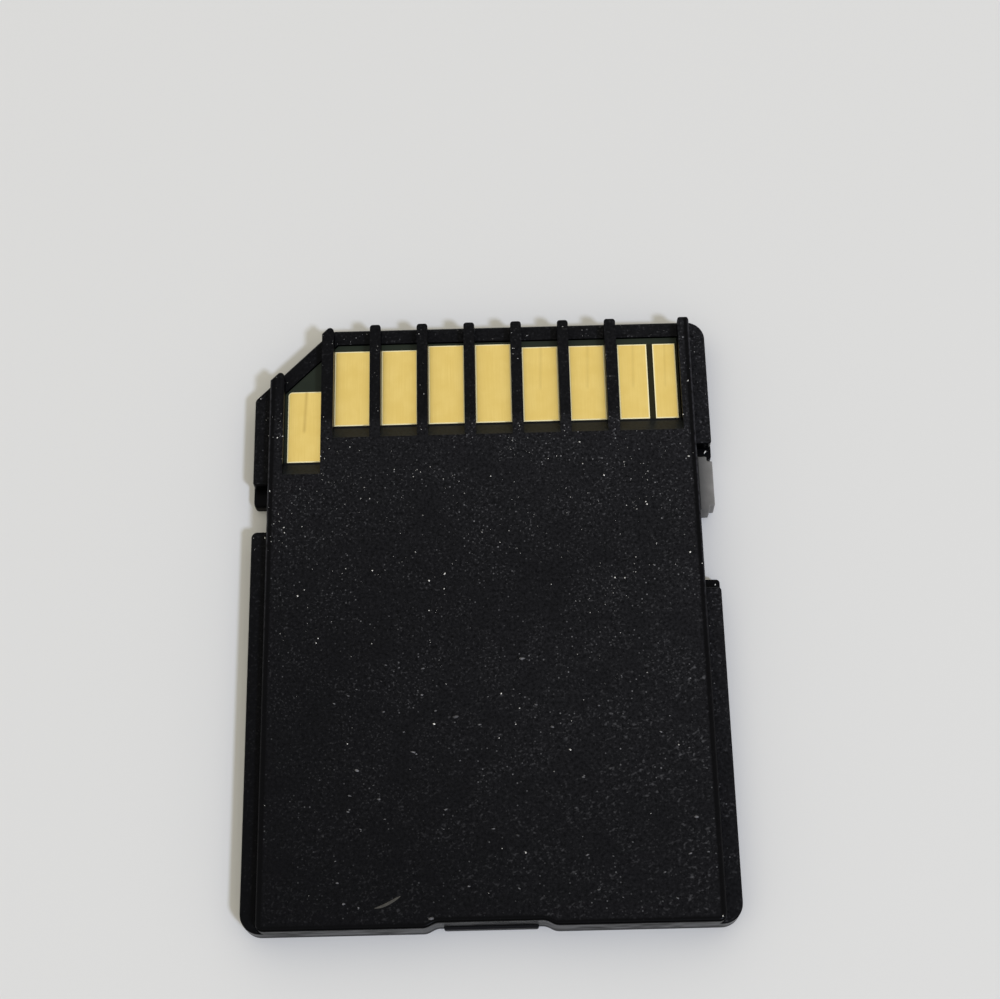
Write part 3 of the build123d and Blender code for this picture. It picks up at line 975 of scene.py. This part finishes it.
@dataclass
class Dirt:
    """Dust that has settled on the covers, dull flecks pressed flat, and one fibre near the rear edge; two
    white flakes on the slot's ledges are painted highlights as well as dust.
    """

    seed: int = 11
    candidates: int = 1160
    flake_sides: int = 7
    flake_sink: float = 0.004 * MM
    mote_radius: float = 0.021 * MM
    mote_spread: float = 0.42
    mote_height: float = 0.012 * MM
    mote_slim: Span = (0.3, 1.0)
    mote_ragged: Span = (0.75, 1.25)
    mote_turn: Span = (0.0, np.pi)
    clump_count: int = 60
    clump_share: float = 0.45
    clump_radius: float = 0.55 * MM
    edge_margin: float = 0.1 * MM
    thick_at_middle: float = 0.43
    thicker_each_way: Span = (6.0, 83.0)
    thinnest: float = 0.06
    lowest_seat: float = 0.6 * MM
    flat_enough: float = 0.95
    carriers: tuple[str, ...] = ("back_cover", "front_cover")
    in_the_way: tuple[str, ...] = ("circuit_board", "lock_slider")
    bright_motes_and_highlights: tuple[Flake, ...] = (
        (10.70, 7.84, 0.055, 0.8), (1.73, -12.55, 0.055, 0.8), (-2.61, -6.12, 0.055, 0.8),
        (7.87, 4.96, 0.055, 0.7), (8.40, 5.22, 0.05, 0.8), (6.26, 6.89, 0.05, 0.8),
        (10.93, -15.76, 0.045, 0.7), (-11.01, 6.47, 0.05, 0.6), (-10.23, 4.43, 0.05, 0.7),
        # The last two on the next line, on the slot's ledges, are painted highlights as well as dust
        (-10.20, 4.14, 0.04, 0.7), (11.77, 1.25, 0.05, 0.8), (11.71, 8.66, 0.12, 0.3),
        (0.72, -4.66, 0.05, 0.7), (7.96, -3.76, 0.045, 0.7), (-2.00, -4.10, 0.045, 0.7),
        (9.32, -7.46, 0.04, 0.8))
    large_flecks: tuple[Flake, ...] = (
        (9.59, -12.77, 0.12, 0.5), (9.97, -11.02, 0.13, 0.45), (-1.57, -5.78, 0.18, 0.45),
        (1.80, -2.87, 0.14, 0.5), (-3.65, -7.50, 0.14, 0.4), (3.17, -6.41, 0.12, 0.5),
        (-6.80, -10.38, 0.1, 0.7), (-2.80, -15.55, 0.14, 0.5))
    fleck_count: int = 60
    fleck_least: Flake = (-8.0, -15.2, 0.045, 0.35)
    fleck_most: Flake = (10.8, -3.0, 0.11, 0.7)
    fleck_ragged: Span = (0.6, 1.2)
    fleck_height: float = 0.006 * MM
    fleck_turn: Span = (-np.radians(25.0), np.radians(25.0))
    fibre_bends: tuple[Span, ...] = ((-5.49, -15.02), (-5.00, -14.95), (-4.67, -14.72), (-4.27, -14.48))
    fibre_radius: float = 0.075 * MM
    fibre_height: float = 0.025 * MM
    fibre_taper: Span = (0.02, 0.98)
    fibre_steps: int = 28
    fibre_sides: int = 8

    def scatter(self, rng: np.random.Generator) -> np.ndarray:
        """Choose where motes lie: some even over the card, the rest normally spread about clump middles.

        A place is kept with a chance that rises evenly across and along the card.

        Args:
            rng: Seeded source of the draws.

        Returns:
            Place of each mote across and along the card.
        """
        card_low, card_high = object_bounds()
        low = np.array(card_low)[:2] + self.edge_margin
        high = np.array(card_high)[:2] - self.edge_margin
        even = rng.uniform(low, high, (self.candidates, 2))
        middles = rng.uniform(low, high, (self.clump_count, 2))
        chosen = middles[rng.integers(0, self.clump_count, self.candidates)]
        clumped = chosen + rng.normal(0.0, self.clump_radius, (self.candidates, 2))
        in_clump = rng.uniform(size=(self.candidates, 1)) < self.clump_share
        places = np.clip(np.where(in_clump, clumped, even), low, high)
        thick = self.thick_at_middle + places @ np.array(self.thicker_each_way)
        return places[rng.uniform(size=self.candidates) < np.clip(thick, self.thinnest, 1.0)]

    def seat(self, place: np.ndarray) -> float:
        """Find the height of the level surface of a cover that lies open to the sky at a place.

        Args:
            place: Place across and along the card.

        Returns:
            The height, or not-a-number where something else or a slope lies there.
        """
        above = Vector((*place, 2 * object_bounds()[1].z))
        down = Vector((0.0, 0.0, -1.0))
        names = self.carriers + self.in_the_way
        hits = [(*frame["nodes"][name].ray_cast(above, down), name) for name in names]
        struck, spot, normal, _, name = max(hits, key=lambda hit: hit[1].z if hit[0] else 0.0)
        level = normal.z > self.flat_enough and spot.z > self.lowest_seat
        return spot.z if struck and level and name in self.carriers else np.nan

    def build_motes(self, material: bpy.types.Material) -> None:
        """Make the dust as one piece of small low flakes, at places, sizes and turns set by chance.

        The flakes that stand out have their own places and sizes; the two on the slot's ledges beside the
        slider are painted highlights as well as dust.

        Args:
            material: Dust finish.
        """
        rng = np.random.default_rng(self.seed)
        scattered = self.scatter(rng)
        bright = np.array(self.bright_motes_and_highlights) * FLAKE_UNITS
        motes = np.empty((len(scattered) + len(bright), 4))
        motes[:, 2] = self.mote_radius * np.exp(rng.normal(0.0, self.mote_spread, len(motes)))
        motes[:, 3] = rng.uniform(*self.mote_slim, len(motes))
        motes[:len(scattered), :2] = scattered
        motes[len(scattered):] = bright
        self.flakes("settled_dust_and_highlights", motes, self.mote_ragged, self.mote_turn, self.mote_height, rng, material)

    def build_flecks(self, material: bpy.types.Material) -> None:
        """Make the dull flecks as one piece of wide flat flakes that lie nearly across the card.

        The large ones have their own places and sizes, and the others lie by chance over the rear part.

        Args:
            material: Fleck finish.
        """
        rng = np.random.default_rng(self.seed)
        small = rng.uniform(self.fleck_least, self.fleck_most, (self.fleck_count, 4))
        flecks = np.concatenate([self.large_flecks, small]) * FLAKE_UNITS
        self.flakes("pressed_flecks", flecks, self.fleck_ragged, self.fleck_turn, self.fleck_height, rng,
                    material)

    def flakes(self, name: str, shapes: np.ndarray, ragged: Span, turn: Span, height: float,
               rng: np.random.Generator, material: bpy.types.Material) -> None:
        """Make one piece of flakes, each a ring of points with a peak above it and a point below it.

        A ring point lies at the radius times a ragged share from the flake's place, at even angles, with
        the second axis made shorter by the slimness, and the ring is then turned about the vertical.

        Args:
            name: Name of the piece.
            shapes: Place, radius and slimness of each flake, one row each.
            ragged: Least and most share of the radius.
            turn: Least and most turn of a flake.
            height: Height of the peak.
            rng: Seeded source of the draws.
            material: Finish.
        """
        places, radius, slim = shapes[:, :2], shapes[:, 2:3], shapes[:, 3:]
        reach = radius * rng.uniform(*ragged, (len(shapes), self.flake_sides))
        heading = rng.uniform(*turn, (len(shapes), 1))
        seats = np.array([self.seat(place) for place in places])
        side = np.arange(self.flake_sides)
        angle = np.linspace(0.0, 2 * np.pi, self.flake_sides, endpoint=False)
        along, aside = reach * np.cos(angle), reach * np.sin(angle) * slim
        x = places[:, :1] + along * np.cos(heading) - aside * np.sin(heading)
        y = places[:, 1:] + along * np.sin(heading) + aside * np.cos(heading)
        ring = np.stack([x, y, np.broadcast_to(seats[:, None], x.shape)], 2)
        peak = np.column_stack([places, seats + height])[:, None]
        foot = np.column_stack([places, seats - self.flake_sink])[:, None]
        points = np.concatenate([ring, peak, foot], 1)[~np.isnan(seats)]
        first = (np.arange(len(points)) * points.shape[1])[:, None]
        here = first + side
        after = first + np.roll(side, -1)
        top = np.stack([here, after, np.broadcast_to(first + self.flake_sides, here.shape)], 2)
        bottom = np.stack([after, here, np.broadcast_to(first + self.flake_sides + 1, here.shape)], 2)
        faces = np.concatenate([top.reshape(-1, 3), bottom.reshape(-1, 3)])
        add_piece(name, points.reshape(-1, 3), faces.tolist(), material, "card")

    def build_fibre(self, material: bpy.types.Material) -> None:
        """Make the fibre: a flat ellipse carried along a cubic Bezier curve, thinner towards both ends.

        Its half width is fibre_radius times the square root of the sine of half a turn along the curve, and
        its height follows in proportion from fibre_height.

        Args:
            material: Fibre finish.
        """
        bends = np.array(self.fibre_bends) * MM
        t = np.linspace(0.0, 1.0, self.fibre_steps)[:, None]
        weights = np.concatenate([(1 - t)**3, 3 * t * (1 - t)**2, 3 * t**2 * (1 - t), t**3], 1)
        middle = weights @ bends
        along = np.gradient(middle, axis=0)
        along /= np.linalg.norm(along, axis=1, keepdims=True)
        aside = np.stack([-along[:, 1], along[:, 0]], 1)
        radius = self.fibre_radius * np.sqrt(np.sin(np.pi * np.clip(t, *self.fibre_taper)))
        angle = np.linspace(0.0, 2 * np.pi, self.fibre_sides, endpoint=False)
        out = radius * np.cos(angle)
        thick = radius / self.fibre_radius * self.fibre_height
        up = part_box("back_cover")[1].z + thick / 2 * (1.0 + np.sin(angle))
        x = middle[:, :1] - out * aside[:, :1]
        y = middle[:, 1:] - out * aside[:, 1:]
        points = np.stack([x, y, up], 2).reshape(-1, 3)
        faces = tube_faces(self.fibre_steps, self.fibre_sides)
        add_piece("stray_fibre", points, faces, material, "card")

    def dress(self, dust: Finish, dull: Finish, lint: Finish) -> None:
        """Make the dust, the flecks and the fibre.

        Args:
            dust: Finish of the settled dust.
            dull: Finish of the pressed flecks.
            lint: Finish of the fibre.
        """
        bpy.context.view_layer.update()
        self.build_motes(dust.material())
        self.build_flecks(dull.material())
        self.build_fibre(lint.material())


@dataclass
class Studio:
    """Plain pale floor, one soft key lamp, an even dome of light and the camera."""

    floor_half: float = 900 * MM
    floor_height: float = -0.01 * MM
    ambient_hex: str = "FFFAEB"
    ambient_strength: float = 0.72
    backdrop_hex: str = "EDEDED"
    key_hex: str = "DAE4FF"
    key_from: Point = (0.427, -0.466, 0.776)
    key_distance: float = 1500 * MM
    key_size: float = 195 * MM
    key_power: float = 11.45
    camera_place: Point = (1.627 * MM, -30.547 * MM, 91.252 * MM)
    camera_aim: Point = (0.849 * MM, 6.529 * MM, 0.0)
    camera_roll: float = np.radians(-2.56)
    focal_length_px: float = 1871.7
    sensor_width: float = 36.0
    near_clip: float = 1.0 * MM
    far_clip: float = 10.0

    def build_floor(self, card: Finish) -> None:
        """Lay the floor just under the object, as a flat grid of four points.

        Args:
            card: Finish of the floor.
        """
        ends = [-self.floor_half, self.floor_half]
        x, y = np.meshgrid(ends, ends)
        points = np.stack([x, y, np.full_like(x, self.floor_height)], 2).reshape(-1, 3)
        mesh = bpy.data.meshes.new("floor")
        mesh.from_pydata(points, [], grid_quads(*x.shape).tolist())
        mesh.materials.append(card.material())
        floor = add_object("floor", mesh)
        floor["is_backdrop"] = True

    def light(self) -> None:
        """Hang the key lamp and set the dome, which shows the pale backdrop to the camera and to gloss."""
        lamp = bpy.data.lights.new("key_lamp", "AREA")
        lamp.shape = "DISK"
        lamp.size = self.key_size
        lamp.energy = self.key_power
        lamp.color = linear(self.key_hex)[:3]
        key = add_object("key_lamp", lamp)
        key.matrix_world = looking(np.array(self.key_from) * self.key_distance, np.zeros(3), 0.0)

        world = bpy.data.worlds.new("studio_dome")
        world.use_nodes = True
        world.node_tree.nodes.clear()
        add = partial(add_node, world.node_tree)
        rays = add("LightPath").node.outputs
        seen = add("Math", (rays["Is Camera Ray"], rays["Is Glossy Ray"]), operation="MAXIMUM")
        shown = add("Math", (seen, rays["Is Transmission Ray"]), operation="MAXIMUM")
        ambient = add("Background", (linear(self.ambient_hex), self.ambient_strength))
        backdrop = add("Background", (linear(self.backdrop_hex),))
        add("OutputWorld", (add("MixShader", (shown, ambient, backdrop)),))
        bpy.context.scene.world = world

    def place_camera(self) -> None:
        """Set up the camera at the viewing angle, with no lens shift and no depth of field."""
        lens = bpy.data.cameras.new("camera")
        lens.sensor_fit = "HORIZONTAL"
        lens.sensor_width = self.sensor_width
        lens.lens = self.sensor_width * self.focal_length_px / IMAGE_WIDTH_PX
        lens.clip_start = self.near_clip
        lens.clip_end = self.far_clip
        camera = add_object("camera", lens)
        camera.matrix_world = looking(
            np.array(self.camera_place), np.array(self.camera_aim), self.camera_roll)
        bpy.context.scene.camera = camera

    def build(self, card: Finish) -> None:
        """Set up floor, light and camera, and the plain view transform.

        Args:
            card: Finish of the floor.
        """
        self.build_floor(card)
        self.light()
        self.place_camera()
        bpy.context.scene.view_settings.view_transform = "Standard"


def looking(place: np.ndarray, aim: np.ndarray, roll: float) -> Matrix:
    """Pose of a camera or lamp that looks from one place at another.

    Its right-hand side is level, then turned about the line of sight by the roll.

    Args:
        place: Where it stands.
        aim: What it looks at.
        roll: Turn about the line of sight, in radians.

    Returns:
        The pose as a matrix.
    """
    forward = (aim - place) / np.linalg.norm(aim - place)
    level = np.cross(forward, [0.0, 0.0, 1.0])
    level /= np.linalg.norm(level)
    upward = np.cross(level, forward)
    right = np.cos(roll) * level + np.sin(roll) * upward
    pose = np.identity(4)
    pose[:3] = np.stack([right, np.cross(right, forward), -forward, place], 1)
    return Matrix(pose.tolist())


def clear_leftovers() -> None:
    """Remove whatever the empty scene started with, apart from the frame."""
    kept = {*frame["nodes"].values(), *frame["bodies"].values()}
    for leftover in [thing for thing in bpy.context.scene.objects if thing not in kept]:
        bpy.data.objects.remove(leftover)


def corners(box: tuple) -> list[list[float]]:
    """Plain lists of a box's lowest and highest corners."""
    return [list(corner) for corner in box]


def main() -> None:
    """Build every sub-assembly in order."""
    logging.basicConfig(level=logging.INFO, format="%(message)s")
    clear_leftovers()
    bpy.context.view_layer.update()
    Shells().dress()
    Board().dress()
    ContactRow().dress(GoldPlating())
    LockSlider().dress()
    Dirt().dress(DryDust(), DryDust("pressed_dust", "373739", "707074"), CottonFibre())
    Studio().build(PaleCard())


if __name__ == "__main__":
    main()
